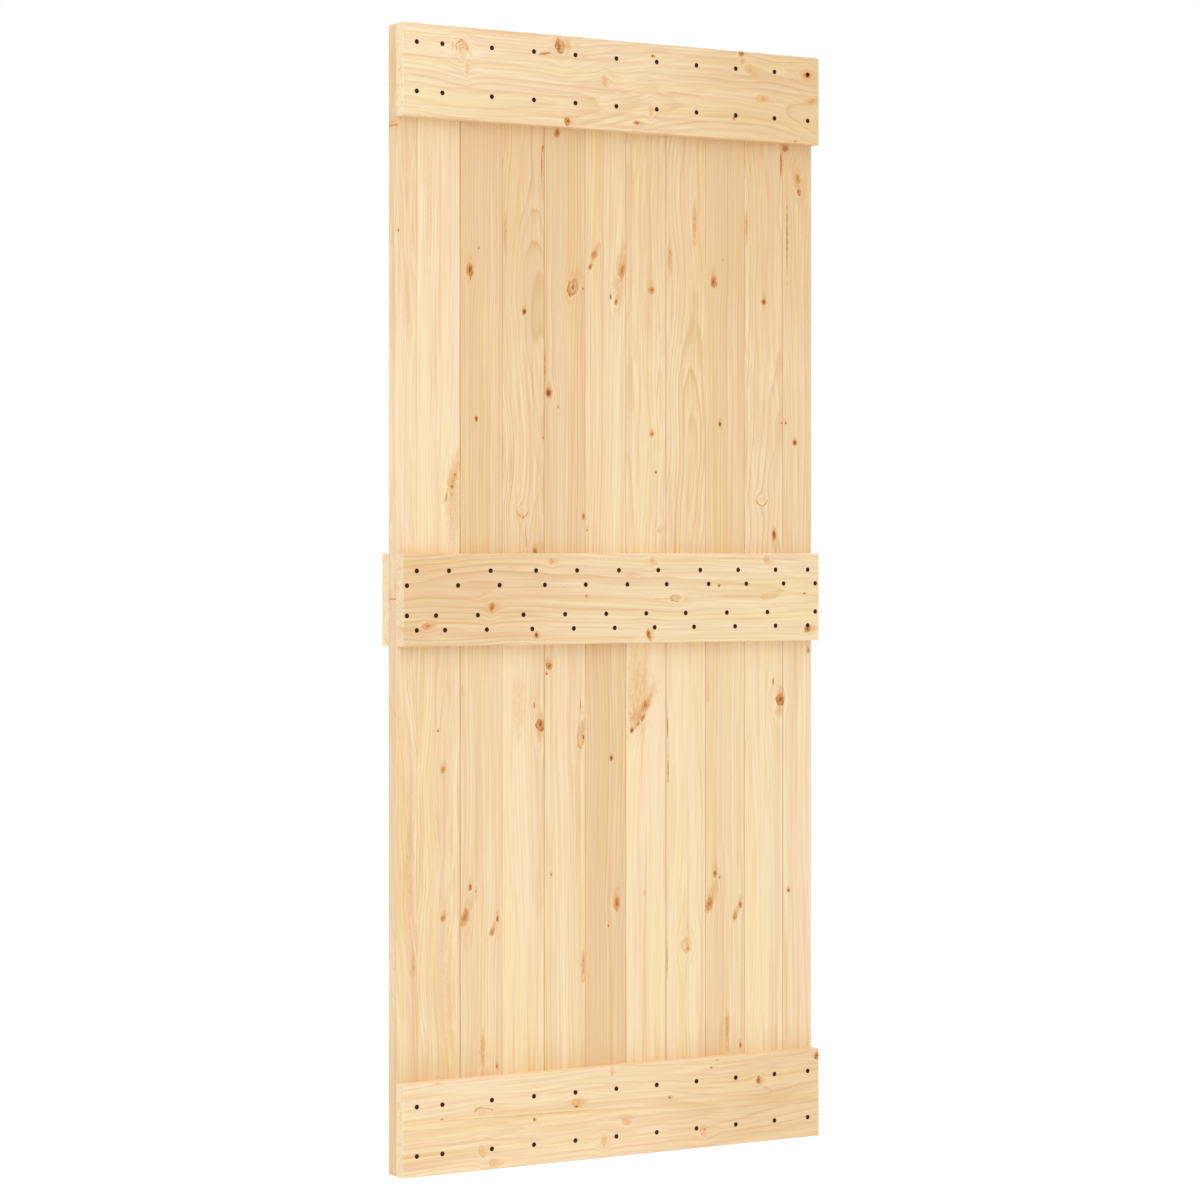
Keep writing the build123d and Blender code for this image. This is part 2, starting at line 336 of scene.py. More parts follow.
RAILS = {
    "top_rail": Timber((-30, 45), (15, 20), 7.5, (0.9, 1.2, 1.8), (0.4, 0.55, 0.85), (0.2, 0.5, 1.0), [
        Mark(SHADE, 230, 2046, 14, 20),
        Mark(EYE, 120, 2002, 22, 0.58),
        Mark(EYE, 121, 2002, 15, 0.56),
        Mark(EYE, 121, 2002, 8.5, 0.55),
        Mark(PALE_KNOT, 101, 2010, 9, 0.26),
        Mark(RINGED_KNOT, 325, 2026, 14, 0.75, 14),
        Mark(RED_KNOT, 322, 2028, 13, 0.34, 8),
        Mark(RESIN_LINE, 292, 2010, 2.6, 6, 10),
        Mark(PALE_KNOT, 131, 1974, 11, 0.30, -4),
        Mark(RED_KNOT, 341, 1890, 9, 0.8),
        Mark(GRAIN_LINE, 361, 1899, 2.2, 2),
        Mark(RED_KNOT, 491, 1897, 4, 1.6),
        Mark(KNOT, 525, 2022, 4, 0.9),
        Mark(RED_KNOT, 723, 2041, 6, 1.2),
        Mark(SWIRL, 727, 2028, 7),
        Mark(CLUSTER, 743, 2012, 9, 1.5, -30),
        Mark(CLUSTER, 872, 2011, 13, 1.3),
        Mark(KNOT, 874, 2011, 7, 1.4),
        Mark(SWIRL, 421, 1969, 10, 0.6),
        Mark(PALE_KNOT, 522, 1921, 10, 0.4),
        Mark(GRAIN_LINE, 590, 1957, 2.5, 22, -2),
        Mark(RESIN_POCKET, 773, 1959, 8, 2.3),
        Mark(RED_KNOT, 706, 1919, 4, 0.8),
        Mark(RESIN_POCKET, 884, 1962, 7.5, 3, 12),
        Mark(RED_KNOT, 846, 1884, 2.2, 1.8),
    ]),
    "middle_rail": Timber((20, 40), (-12, 18), 7.5, (1.2, 0.8, 0.8), (0.88, 0.5, 0.45), (0.94, 0.44, 0.24), [
        Mark(SHADE, 40, 1078, 12, 5),
        Mark(SHADE, 10, 968, 14, 3),
        Mark(CLUSTER, 307, 1092, 8, 0.9),
        Mark(GLOW, 523, 1092, 8.5, 0.8, -30),
        Mark(GLOW, 780, 1093, 9, 1, -30),
        Mark(RED_KNOT, 381, 1027, 3.2, 0.8),
        Mark(RED_KNOT, 672, 1045, 3.2, 0.8),
        Mark(KNOT, 182, 1009, 11, 0.7, -10),
        Mark(PALE_KNOT, 160, 1030, 3, 4, 25),
        Mark(SHADE, 230, 1078, 8, 4.5),
        Mark(SWIRL, 577, 1022, 7, 2),
        Mark(GRAIN_LINE, 540, 1021, 1.6, 18),
        Mark(PALE_KNOT, 780, 1024, 5, 2.8),
        Mark(SOFT_KNOT, 48, 976, 8, 1.5, 8),
        Mark(DARK_KNOT, 275, 957, 6.5, 0.8),
        Mark(KNOT, 516, 956, 11, 0.5, 14),
        Mark(KNOT, 874, 962, 7.5, 1.2),
        Mark(DARK_KNOT, 866, 1029, 1.8, 1.2),
        Mark(SHADE, 477, 1066, 10, 2.2),
        Mark(GRAIN_LINE, 240, 1044, 1.4, 130),
        Mark(GRAIN_LINE, 200, 957, 1.6, 75),
    ]),
    "bottom_rail": Timber((-10, 50), (15, 15), 7.5, (0.9, 0.9, 0.9), (0.44, 0.42, 0.55), (0.12, 0.26, 0.72), [
        Mark(DOME, 163, 105, 8, 2.6),
        Mark(GRAIN_LINE, 230, 92, 1.4, 160, -1),
        Mark(RED_KNOT, 271, 82, 3.4, 0.8),
        Mark(KNOT, 78, 98, 2.2, 1.2),
        Mark(PALE_KNOT, 70, 162, 3, 2),
        Mark(SWIRL, 364, 106, 8.5, 1.7),
        Mark(KNOT, 360, 98, 2.6, 2.4),
        Mark(PALE_KNOT, 437, 156, 8.5, 0.5),
        Mark(PALE_KNOT, 162, 34, 12, 0.6, 12),
        Mark(PALE_KNOT, 188, 11, 8, 1.6),
        Mark(PALE_KNOT, 420, 32, 12, 0.6),
        Mark(PALE_KNOT, 469, 62, 8, 1.4),
        Mark(KNOT, 562, 99, 3.4),
        Mark(PALE_KNOT, 638, 31, 11, 0.7),
        Mark(KNOT, 640, 33, 3),
        Mark(KNOT, 761, 116, 10, 0.6, -14),
        Mark(PALE_KNOT, 780, 99, 4, 2.2, -20),
        Mark(RED_KNOT, 896, 152, 8, 0.8),
        Mark(DARK_KNOT, 667, 160, 1.4, 1.5),
        Mark(RED_KNOT, 654, 147, 2, 1.5),
    ]),
    "back_rail": Timber((25, -45), (12, -15), 7.5, (0.9, 0.9, 0.9), (0.50, 0.50, 0.50), (0.40, 0.40, 0.40), [
        Mark(KNOT, 210, 1050, 7, 1.2),
        Mark(KNOT, 395, 978, 5, 1.5),
        Mark(DARK_KNOT, 452, 1081, 3, 1.2),
        Mark(RINGED_KNOT, 640, 1015, 9, 1.3),
        Mark(PALE_KNOT, 768, 1074, 8, 0.8),
        Mark(KNOT, 826, 968, 4, 1.6),
    ]),
}


def srgb(red, green, blue):
    """A colour given as screen values from 0 to 255, as the linear values that shaders use."""
    screen = np.array([red, green, blue]) / 255.0
    linear = np.where(screen <= 0.04045, screen / 12.92, ((screen + 0.055) / 1.055) ** 2.4)
    return tuple(float(value) for value in linear)


def colour_property(name, description, default):
    """A colour that a user can change."""
    return FloatVectorProperty(
        name=name, description=description, subtype="COLOR", size=3, min=0.0, max=1.0, default=default
    )


class PineSettings(bpy.types.PropertyGroup):
    """Colours and scale of the pine."""

    pale_wood: colour_property("Pale Wood", "The palest boards", srgb(252, 230, 192))
    tan_wood: colour_property("Tan Wood", "The darkest boards", srgb(236, 204, 160))
    pink_tint: colour_property("Pink Tint", "Multiplies pinkish streaks", (0.992, 0.954, 0.964))
    yellow_tint: colour_property("Yellow Tint", "Multiplies yellowish streaks", (1.0, 0.984, 0.865))
    late_wood: colour_property("Late Wood", "The dark line of each growth ring", srgb(214, 166, 107))
    resin_wood: colour_property("Resin Wood", "Resinous orange wood round knots", srgb(232, 184, 130))
    knot_orange: colour_property("Knot Orange", "The outer body of a knot", srgb(212, 148, 92))
    knot_brown: colour_property("Knot Brown", "The inner body of a knot", srgb(174, 102, 52))
    knot_dark: colour_property("Knot Dark", "A knot's heart", srgb(104, 54, 24))
    seam_brown: colour_property("Seam Brown", "Shadowed wood in the seams", srgb(176, 128, 78))
    roughness: FloatProperty(
        name="Roughness", description="Roughness of the planed wood", min=0.0, max=1.0,
        subtype="FACTOR", default=0.62,
    )
    relief: FloatProperty(
        name="Relief", description="Height of the planed grain's relief", min=0.0, max=0.001,
        unit="LENGTH", default=0.00012,
    )


class ScrewSettings(bpy.types.PropertyGroup):
    """Shape and finish of the countersunk screws."""

    head_diameter: FloatProperty(
        name="Head Diameter", description="Across the countersunk head", unit="LENGTH",
        min=0.004, max=0.0091, default=0.0089,
    )
    shank_diameter: FloatProperty(
        name="Shank Diameter", description="Across the shank", unit="LENGTH",
        min=0.002, max=0.0045, default=0.0045,
    )
    recess_width: FloatProperty(
        name="Recess Width", description="Across the cross recess, tip to tip", unit="LENGTH",
        min=0.001, max=0.007, default=0.0048,
    )
    recess_depth: FloatProperty(
        name="Recess Depth", description="Depth of the cross recess at its middle", unit="LENGTH",
        min=0.0, max=0.003, default=0.0016,
    )
    sides: IntProperty(
        name="Sides", description="Facets round each screw", min=8, max=64, default=24,
    )
    steel: colour_property("Steel", "Blackened screw steel", srgb(64, 26, 0))
    rubbed_steel: colour_property("Rubbed Steel", "Where the driver rubbed it", srgb(84, 58, 38))


class StageSettings(bpy.types.PropertyGroup):
    """Floor and light of the studio."""

    floor: colour_property("Floor", "The plain pale floor", srgb(250, 250, 250))
    ambient: FloatProperty(
        name="Ambient", description="Strength of the even light from all round", min=0.0, max=2.0,
        default=0.67,
    )
    key_power: FloatProperty(
        name="Key Power", description="Power of the broad lamp in front", unit="POWER",
        min=0.0, max=5000.0, default=100.0,
    )
    sky_strength: FloatProperty(
        name="Sky Strength", description="Strength of the soft light from above", min=0.0, max=5.0,
        default=0.62,
    )


def feed(tree, socket, value):
    """Links an input to a socket, or gives it a plain value."""
    if isinstance(value, bpy.types.NodeSocket):
        tree.links.new(value, socket)
    elif socket.type == "VECTOR" and isinstance(value, float):
        socket.default_value = (value, value, value)
    elif socket.type == "RGBA" and len(value) == 3:
        socket.default_value = (*value, 1.0)
    else:
        socket.default_value = value


def add_node(tree, kind, inputs, **settings):
    """A node with its settings, each input linked to a socket or given a value."""
    node = tree.nodes.new(kind)
    for name, value in settings.items():
        setattr(node, name, value)
    for name, value in inputs.items():
        feed(tree, node.inputs[name], value)
    return node


def add_group(tree, group, inputs):
    """A node that stands for a node group, with its inputs."""
    node = tree.nodes.new("ShaderNodeGroup")
    node.node_tree = group
    for name, value in inputs.items():
        feed(tree, node.inputs[name], value)
    return node


def calculate(tree, operation, *values, clamp=False):
    """One sum of a Math node."""
    inputs = dict(enumerate(values))
    return add_node(tree, "ShaderNodeMath", inputs, operation=operation, use_clamp=clamp).outputs[0]


def times(tree, first, *others):
    """Numbers multiplied together."""
    for other in others:
        first = calculate(tree, "MULTIPLY", first, other)
    return first


def total(tree, first, *others):
    """Numbers added up."""
    for other in others:
        first = calculate(tree, "ADD", first, other)
    return first


def combine(tree, operation, *values):
    """One sum of a Vector Math node that gives a vector."""
    inputs = dict(enumerate(values))
    return add_node(tree, "ShaderNodeVectorMath", inputs, operation=operation).outputs["Vector"]


def length_of(tree, vector):
    """The length of a vector."""
    return add_node(tree, "ShaderNodeVectorMath", {0: vector}, operation="LENGTH").outputs["Value"]


def scaled(tree, vector, factor):
    """A vector times a number."""
    return add_node(tree, "ShaderNodeVectorMath", {0: vector, "Scale": factor}, operation="SCALE").outputs[0]


def part_along(tree, vector, direction):
    """How far a vector goes in a direction."""
    inputs = {0: vector, 1: direction}
    return add_node(tree, "ShaderNodeVectorMath", inputs, operation="DOT_PRODUCT").outputs["Value"]


def fade(tree, value, start, end, low=0.0, high=1.0):
    """A smooth change from low to high while value goes from start to end."""
    inputs = {"Value": value, "From Min": start, "From Max": end, "To Min": low, "To Max": high}
    return add_node(tree, "ShaderNodeMapRange", inputs, interpolation_type="SMOOTHSTEP").outputs[0]


def mix_colour(tree, amount, first, second):
    """first where amount is 0, second where it is 1."""
    inputs = {0: amount, 6: first, 7: second}
    return add_node(tree, "ShaderNodeMix", inputs, data_type="RGBA").outputs[2]


def tint(tree, amount, colour, tinge):
    """The colour, multiplied by a tinge as far as the amount goes."""
    inputs = {0: amount, 6: colour, 7: tinge}
    return add_node(tree, "ShaderNodeMix", inputs, data_type="RGBA", blend_type="MULTIPLY").outputs[2]


def noise(tree, place, size, detail=2.0, seed=0.0, colour=False):
    """Noise whose blotches are about size millimetres (across, deep, along the grain)."""
    per_millimetre = tuple(1.0 / length for length in size)
    shifted = combine(tree, "ADD", combine(tree, "MULTIPLY", place, per_millimetre), seed)
    node = add_node(tree, "ShaderNodeTexNoise", {"Vector": shifted, "Scale": 1.0, "Detail": detail})
    return node.outputs["Color" if colour else "Fac"]


def new_group(name, inputs, outputs):
    """An empty node group with its sockets, and its two end nodes."""
    group = bpy.data.node_groups.new(name, "ShaderNodeTree")
    for direction, sockets in (("INPUT", inputs), ("OUTPUT", outputs)):
        for socket, kind in sockets.items():
            group.interface.new_socket(socket, in_out=direction, socket_type=f"NodeSocket{kind}")
    start = group.nodes.new("NodeGroupInput")
    end = group.nodes.new("NodeGroupOutput")
    return group, start.outputs, end.inputs


def mark_group():
    """One mark in the wood: how it bends the grain, browns it and darkens it.

    With d the distance from the mark's middle in half-widths, made ragged by noise, the body fades
    out from d 0.2 to 1.4 and carries rings of its own, a cosine of d. The heart is smaller and off
    the middle, the rim is a band at 0.9 on the side that the mark leans to, and the halo reaches up
    along the grain. The grain moves sideways by offset / (d squared + 0.35), as a stream flows round
    a post, and the rings rise by size / (d squared + 1.5), because they grow out along the branch.
    """
    group, given, result = new_group(
        "Wood Mark",
        {"Local": "Vector", "Ragged": "Float", "Size": "Float", "Body": "Float", "Heart": "Float",
         "Rings": "Float", "Rim": "Float", "Halo": "Float", "Bend": "Float", "Lean": "Vector",
         "Shift": "Vector", "Stain": "Float", "Dark": "Float"},
        {"Shift": "Vector", "Stain": "Float", "Dark": "Float"},
    )
    flat = combine(group, "MULTIPLY", given["Local"], (1.0, 0.0, 1.0))
    even_distance = length_of(group, flat)
    distance = times(group, even_distance, given["Ragged"])
    body = times(group, fade(group, distance, 0.2, 1.4, 1.0, 0.0), given["Body"])
    lean = part_along(group, flat, given["Lean"])
    wave = calculate(group, "COSINE", times(group, distance, 8.0))
    inside = fade(group, distance, 0.9, 1.9, 1.0, 0.0)
    wave = times(group, wave, inside, given["Rings"], fade(group, lean, -0.5, 0.4, 0.4, 1.0))
    above = combine(group, "SUBTRACT", flat, (0.0, 0.0, 0.5))
    long_way = length_of(group, combine(group, "MULTIPLY", above, (1.0, 0.0, 0.6)))
    halo = fade(group, times(group, long_way, given["Ragged"]), 0.3, 2.2, 1.0, 0.0)
    halo = times(group, halo, halo, given["Halo"])
    from_rim = calculate(group, "ABSOLUTE", calculate(group, "SUBTRACT", distance, 0.9))
    rim = fade(group, from_rim, 0.0, 0.25, 1.0, 0.0)
    rim = times(group, rim, fade(group, lean, -0.5, 0.4), given["Rim"])
    stain = calculate(group, "MAXIMUM", body, calculate(group, "MAXIMUM", rim, halo))
    stain = total(group, stain, wave)
    stain = calculate(group, "MAXIMUM", given["Stain"], stain)
    group.links.new(stain, result["Stain"])

    off_middle = times(group, calculate(group, "SUBTRACT", given["Ragged"], 1.0), 1.6)
    offset = add_node(group, "ShaderNodeCombineXYZ", {0: off_middle, 2: off_middle}).outputs[0]
    core = length_of(group, combine(group, "ADD", flat, offset))
    heart = times(group, fade(group, core, 0.08, 0.5, 1.0, 0.0), given["Heart"])
    group.links.new(calculate(group, "MAXIMUM", given["Dark"], heart), result["Dark"])

    square = times(group, even_distance, even_distance)
    reach = times(group, given["Size"], given["Bend"])
    aside = calculate(group, "DIVIDE", reach, total(group, square, 0.35))
    rise = calculate(group, "DIVIDE", reach, total(group, square, 1.5))
    aside = times(group, part_along(group, flat, (-1.0, 0.0, 0.0)), aside)
    push = add_node(group, "ShaderNodeCombineXYZ", {0: aside, 1: rise, 2: 0.0}).outputs[0]
    group.links.new(combine(group, "ADD", given["Shift"], push), result["Shift"])
    return group


def centred(tree, value, reach):
    """A noise colour as a vector that goes from -reach to reach."""
    from_middle = combine(tree, "SUBTRACT", value, (0.5, 0.5, 0.5))
    return combine(tree, "MULTIPLY", from_middle, tuple(2.0 * part for part in reach))


def ring_noise(tree, number, scale):
    """Noise that is the same all round a ring and changes from ring to ring."""
    inputs = {"W": number, "Scale": scale, "Detail": 1.0}
    return add_node(tree, "ShaderNodeTexNoise", inputs, noise_dimensions="1D").outputs["Fac"]


def place_from_pith(group, given):
    """A place in the wood as seen from the pith.

    The pith drifts and wanders, and the rings swell, ripple and make way for the marks.
    """
    place, seed = given["Place"], given["Seed"]
    along = part_along(group, place, (0.0, 0.0, 1.0))
    line = add_node(group, "ShaderNodeCombineXYZ", {2: along}).outputs[0]
    wander = centred(group, noise(group, line, WANDER_SIZE, 1.0, seed, colour=True), WANDER_REACH)
    swell = centred(group, noise(group, place, SWELL_SIZE, 2.0, seed, colour=True), SWELL_REACH)
    ripple = centred(group, noise(group, place, RIPPLE_SIZE, 2.0, seed, colour=True), RIPPLE_REACH)
    pith = combine(group, "ADD", given["Pith"], scaled(group, given["Drift"], along))
    spot = combine(group, "SUBTRACT", combine(group, "ADD", place, given["Shift"]), pith)
    sway = scaled(group, combine(group, "ADD", wander, swell), given["Sway"])
    return combine(group, "ADD", spot, combine(group, "ADD", sway, ripple))


def late_wood(group, given, number):
    """How dark the late wood is at a ring number.

    It darkens as the cube of the way through a ring and ends at once. Some rings and some stretches
    of the timber are fainter, and so is end grain.
    """
    through = calculate(group, "FRACT", number)
    late = calculate(group, "POWER", through, 3.0)
    late = times(group, late, fade(group, through, 0.88, 1.0, 1.0, 0.0))
    season = add_node(
        group, "ShaderNodeTexWhiteNoise", {"W": calculate(group, "FLOOR", number)}, noise_dimensions="1D"
    ).outputs["Value"]
    weakest = fade(group, given["Sway"], 0.4, 1.0, 0.7, 0.2)
    late = times(group, late, fade(group, season, 0.0, 1.0, weakest, 1.0))
    clear = noise(group, given["Place"], CLEAR_SIZE, 1.0, given["Seed"])
    late = times(group, late, fade(group, clear, 0.3, 0.65, 0.55, 1.2))
    less_on_ends = fade(group, given["End Grain"], 0.0, 1.0, 1.0, 0.3)
    return times(group, late, times(group, given["Contrast"], less_on_ends))


def early_wood(group, given, pine, number, spot, fibre):
    """Colour of the wood between the late lines.

    Bands of a few rings, long streaks and fine fibres change how tan it is. The bands are fainter
    where the rings are wide. Wide soft streaks are pinkish, yellowish or resinous.
    """
    place, seed = given["Place"], given["Seed"]
    reach = fade(group, given["Ring"], 5.0, 7.5, 0.30, 0.12)
    band = fade(group, ring_noise(group, number, 0.22), 0.25, 0.75, -1.0, 1.0)
    streak = fade(group, noise(group, spot, STREAK_SIZE, 2.0, seed), 0.25, 0.75, -0.32, 0.32)
    fibre = fade(group, fibre, 0.2, 0.8, -0.22, 0.22)
    tan = total(group, given["Tan"], times(group, band, reach), streak, fibre)
    colour = mix_colour(group, tan, pine.pale_wood, pine.tan_wood)
    hue = noise(group, place, HUE_SIZE, 2.0, total(group, seed, HUE_SEED))
    colour = tint(group, fade(group, hue, 0.48, 0.66), colour, pine.pink_tint)
    colour = tint(group, fade(group, hue, 0.52, 0.34), colour, pine.yellow_tint)
    resin = noise(group, place, RESIN_SIZE, 2.0, total(group, seed, RESIN_SEED))
    return mix_colour(group, fade(group, resin, 0.52, 0.72, 0.0, 0.42), colour, pine.resin_wood)


def knot_colour(group, given, pine, colour):
    """The wood's colour, browned step by step as the stain of the marks grows, and mottled."""
    mottle = noise(group, given["Place"], MOTTLE_SIZE, 3.0, given["Seed"])
    stain = times(group, given["Stain"], fade(group, mottle, 0.25, 0.75, 0.68, 1.32))
    for start, end, brown in (
        (0.02, 0.55, pine.resin_wood), (0.42, 0.85, pine.knot_orange), (0.85, 1.25, pine.knot_brown)
    ):
        colour = mix_colour(group, fade(group, stain, start, end), colour, brown)
    return mix_colour(group, given["Dark"], colour, pine.knot_dark)


def pine_group(pine):
    """Colour, roughness and relief of pine at a place in the wood.

    The ring number is the distance from the pith over the ring width, with a little noise, so that
    no two rings are alike. Late wood, resin canals and seams darken the early wood, and knots lie
    over all. The relief is of fibres and resin canals alone, because the wood is planed.
    """
    group, given, result = new_group(
        "Pine",
        {"Place": "Vector", "Shift": "Vector", "Stain": "Float", "Dark": "Float", "Seam": "Float",
         "Pith": "Vector", "Drift": "Vector", "Ring": "Float", "Sway": "Float", "Contrast": "Float",
         "Seed": "Float", "Tan": "Float", "End Grain": "Float"},
        {"Colour": "Color", "Roughness": "Float", "Relief": "Float"},
    )
    spot = place_from_pith(group, given)
    radius = length_of(group, combine(group, "MULTIPLY", spot, (1.0, 1.0, 0.0)))
    number = calculate(group, "DIVIDE", radius, given["Ring"])
    number = total(group, number, times(group, ring_noise(group, number, 0.45), 1.6))
    late = late_wood(group, given, number)
    fibre = noise(group, given["Place"], FIBRE_SIZE, 3.0, given["Seed"])
    canal = noise(group, given["Place"], CANAL_SIZE, 1.0, given["Seed"])
    colour = early_wood(group, given, pine, number, spot, fibre)
    colour = mix_colour(group, late, colour, pine.late_wood)
    canal = fade(group, canal, 0.68, 0.80, 0.0, 0.30)
    colour = mix_colour(group, canal, colour, pine.late_wood)
    colour = mix_colour(group, given["Seam"], colour, pine.seam_brown)
    group.links.new(knot_colour(group, given, pine, colour), result["Colour"])

    fibre_roughness = fade(group, fibre, 0.2, 0.8, -0.05, 0.05)
    smoother = times(group, total(group, late, given["Stain"]), -0.12)
    rougher = times(group, given["End Grain"], 0.15)
    rough = total(group, pine.roughness, fibre_roughness, smoother)
    group.links.new(calculate(group, "ADD", rough, rougher, clamp=True), result["Roughness"])
    relief = calculate(group, "SUBTRACT", fade(group, fibre, 0.2, 0.8, 0.0, 0.5), canal)
    group.links.new(relief, result["Relief"])
    return group


def seam_shade(tree, spot, name, seed):
    """How brown the arrises beside a board's seams are, more in some stretches than in others."""
    number = int(name[-2:])
    across = part_along(tree, spot, (1.0, 0.0, 0.0))
    stretch = fade(tree, noise(tree, spot, SEAM_STRETCH_SIZE, 2.0, seed), 0.35, 0.65, 0.6, 1.3)
    shade = 0.0
    for seam in (number - 2, number - 1):
        if 0 <= seam < len(SEAMS):
            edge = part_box(f"board_{seam + 2:02d}")[0][0] * MILLIMETRES
            away = calculate(tree, "ABSOLUTE", calculate(tree, "SUBTRACT", across, edge))
            near = fade(tree, away, 0.6, 1.8, 1.0, 0.0)
            near = times(tree, near, by_half(tree, spot, SEAMS[seam]))
            shade = calculate(tree, "MAXIMUM", shade, near)
    return times(tree, shade, stretch)


def by_half(tree, spot, values):
    """A board's first value below the middle rail, its second above it."""
    low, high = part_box("middle_rail")
    middle = (low[2] + high[2]) / 2 * MILLIMETRES
    height = part_along(tree, spot, (0.0, 0.0, 1.0))
    return fade(tree, height, middle - HALF_CHANGE, middle + HALF_CHANGE, *values)


def tan_and_painted_shade_by_height(tree, spot):
    """How much more tan the boards are at a height.

    They are tanner close to the top and bottom rails, which is painted shade: the rails shade the
    boards just below the top rail and just above the bottom one. Above the middle rail they start
    paler and turn tanner half-way to the top rail.
    """
    height = part_along(tree, spot, (0.0, 0.0, 1.0))
    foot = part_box("bottom_rail")[1][2] * MILLIMETRES
    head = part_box("top_rail")[0][2] * MILLIMETRES
    # Painted shade: tanner just above the bottom rail and just below the top rail, where the rails shade the
    # boards
    painted_shade_above_foot = fade(tree, height, foot, foot + 80.0, 0.32, 0.0)
    painted_shade_below_head = fade(tree, height, head - 160.0, head, 0.0, 0.14)
    upper = fade(tree, height, head - 480.0, head - 180.0, 0.0, 0.32)
    low = by_half(tree, spot, (0.05, -0.18))
    return total(tree, painted_shade_above_foot, painted_shade_below_head, upper, low)


def by_third(tree, spot, values):
    """A rail's values at its left, middle and right, with smooth changes between them."""
    left, middle, right = values
    along = part_along(tree, spot, (0.0, 0.0, 1.0))
    change = fade(tree, along, -THIRD_CHANGE, 0.0, left, middle)
    return total(tree, change, fade(tree, along, 0.0, THIRD_CHANGE, 0.0, right - middle))


def timber_material(name, timber, is_upright, groups, pine, seed):
    """The pine of one timber, in its own grain frame: across, deep, along."""
    material = bpy.data.materials.new(name)
    material.use_nodes = True
    tree = material.node_tree
    tree.nodes.clear()
    marks, wood = groups
    spot = add_node(tree, "ShaderNodeTexCoord", {}).outputs["Object"]
    spot = combine(tree, "MULTIPLY", spot, (MILLIMETRES, MILLIMETRES, MILLIMETRES))
    facing = add_node(tree, "ShaderNodeNewGeometry", {}).outputs["True Normal"]
    if not is_upright:
        x, y, z = add_node(tree, "ShaderNodeSeparateXYZ", {0: spot}).outputs
        spot = add_node(tree, "ShaderNodeCombineXYZ", {0: z, 1: y, 2: x}).outputs[0]
    grain_way = (0.0, 0.0, 1.0) if is_upright else (1.0, 0.0, 0.0)
    end_grain = calculate(tree, "ABSOLUTE", part_along(tree, facing, grain_way))

    ragged = fade(tree, noise(tree, spot, RAGGED_SIZE, 4.5, seed), 0.2, 0.8, 0.78, 1.26)
    shift, stain, dark = (0.0, 0.0, 0.0), 0.0, 0.0
    for mark in timber.marks:
        across, along = mark.x + LEAF_LEFT, mark.height + LEAF_FOOT
        if not is_upright:
            across, along = along, across
        local = add_node(
            tree, "ShaderNodeMapping",
            {"Vector": spot, "Location": (across, 0.0, along), "Rotation": (0.0, radians(mark.turn), 0.0),
             "Scale": (mark.size, 1.0, mark.size * mark.stretch)},
            vector_type="TEXTURE",
        ).outputs[0]
        kind = mark.kind
        shift, stain, dark = add_group(tree, marks, {
            "Local": local, "Ragged": ragged, "Size": mark.size, "Body": kind.body, "Heart": kind.heart,
            "Rings": kind.rings, "Rim": kind.rim, "Halo": kind.halo, "Bend": kind.bend,
            "Lean": kind.lean, "Shift": shift, "Stain": stain, "Dark": dark,
        }).outputs

    by_part = by_half if is_upright else by_third
    sway, contrast, tan = (
        by_part(tree, spot, values) for values in (timber.sway, timber.contrast, timber.tan)
    )
    if is_upright:
        # The boards' tone by height, with painted shade beside the top and bottom rails
        tan = total(tree, tan, tan_and_painted_shade_by_height(tree, spot))
    tan = calculate(tree, "SUBTRACT", tan, times(tree, end_grain, 0.7))
    seam = seam_shade(tree, spot, name, seed) if is_upright else 0.0
    pith_across, pith_deep = timber.pith
    drift_across, drift_deep = timber.drift
    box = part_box(name)
    centre = [(low + high) / 2 * MILLIMETRES for low, high in zip(*box)]
    middle_across = centre[0] if is_upright else centre[2]
    colour, rough, relief = add_group(tree, wood, {
        "Place": spot, "Shift": shift, "Stain": stain, "Dark": dark, "Seam": seam,
        "Pith": (middle_across + pith_across, box[0][1] * MILLIMETRES + pith_deep, 0.0),
        "Drift": (drift_across / 1000.0, drift_deep / 1000.0, 0.0), "Ring": timber.ring,
        "Sway": sway, "Contrast": contrast, "Seed": seed, "Tan": tan, "End Grain": end_grain,
    }).outputs
    bump = add_node(tree, "ShaderNodeBump", {"Height": relief, "Distance": pine.relief})
    surface = add_node(
        tree, "ShaderNodeBsdfPrincipled",
        {"Base Color": colour, "Roughness": rough, "Normal": bump.outputs[0], "IOR": 1.45,
         "Specular IOR Level": 0.3},
    )
    add_node(tree, "ShaderNodeOutputMaterial", {"Surface": surface.outputs[0]})
    return material


def dress(node_name, material):
    """Gives every slot of a CAD node one material."""
    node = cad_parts[node_name]
    for slot in node.material_slots:
        slot.material = material


def wood_groups(pine):
    """The mark and pine node groups, made once."""
    marks = bpy.data.node_groups.get("Wood Mark") or mark_group()
    wood = bpy.data.node_groups.get("Pine") or pine_group(pine)
    return marks, wood


class LEAF_OT_boards(bpy.types.Operator):
    """Gives each upright board its own pine"""

    bl_idname = "leaf.boards"
    bl_label = "Pine on Boards"

    def execute(self, context):
        pine = context.scene.leaf_pine
        groups = wood_groups(pine)
        for number, timber in enumerate(BOARDS, start=1):
            name = f"board_{number:02d}"
            dress(name, timber_material(name, timber, True, groups, pine, number * BOARD_SEED_STEP))
        return {"FINISHED"}


class LEAF_OT_rails(bpy.types.Operator):
    """Gives each cross rail its own pine"""

    bl_idname = "leaf.rails"
    bl_label = "Pine on Rails"

    def execute(self, context):
        pine = context.scene.leaf_pine
        groups = wood_groups(pine)
        for number, (name, timber) in enumerate(RAILS.items(), start=1):
            seed = FIRST_RAIL_SEED + number * RAIL_SEED_STEP
            dress(name, timber_material(name, timber, False, groups, pine, seed))
        return {"FINISHED"}


